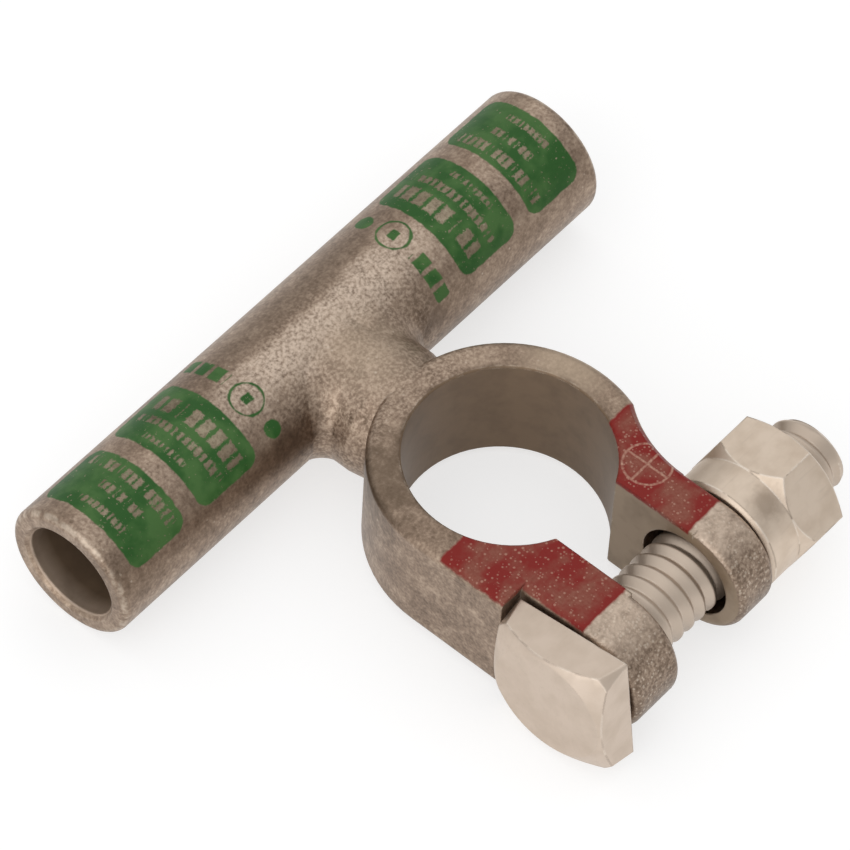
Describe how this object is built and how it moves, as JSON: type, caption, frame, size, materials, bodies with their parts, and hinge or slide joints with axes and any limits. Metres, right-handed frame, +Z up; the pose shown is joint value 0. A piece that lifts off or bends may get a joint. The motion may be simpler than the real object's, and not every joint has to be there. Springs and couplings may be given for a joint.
{
  "type": "battery terminal connector",
  "caption": "T-shaped battery terminal connector: a split post clamp drawn up by a square-head bolt and a tall nut, with in-line crimp barrels for the cables.",
  "frame": {"origin": "on the axis of the post bore, level with the underside of the clamp ring", "axes": "+Z up along the post bore, +X along the barrels and the bolt towards the nut, +Y from the ring towards the barrels"},
  "size_m": [0.0606, 0.0503, 0.0128],
  "materials": {
    "tinned_casting": "cast copper alloy, tin plated, mottled grey",
    "bolt_steel": "bright plated steel",
    "nut_steel": "plated steel"
  },
  "bodies": {
    "connector": {"connector_body": "tinned_casting"},
    "bolt": {"clamp_bolt": "bolt_steel"},
    "nut": {"clamp_nut": "nut_steel"}
  },
  "joints": [
    {"name": "bolt_slide", "type": "slide", "parent": "connector", "child": "bolt", "axis": [-1, 0, 0], "range_m": [-0.00035, 0.0098]},
    {"name": "nut_turn", "type": "hinge", "parent": "connector", "child": "nut", "pos_m": [0.00855, -0.0159, 0.0057], "axis": [1, 0, 0], "range_deg": [-90, 2520]}
  ],
  "couplings": [
    {"joint": "nut_turn", "follows": "bolt_slide", "rad_per_m": 4452.7}
  ]
}
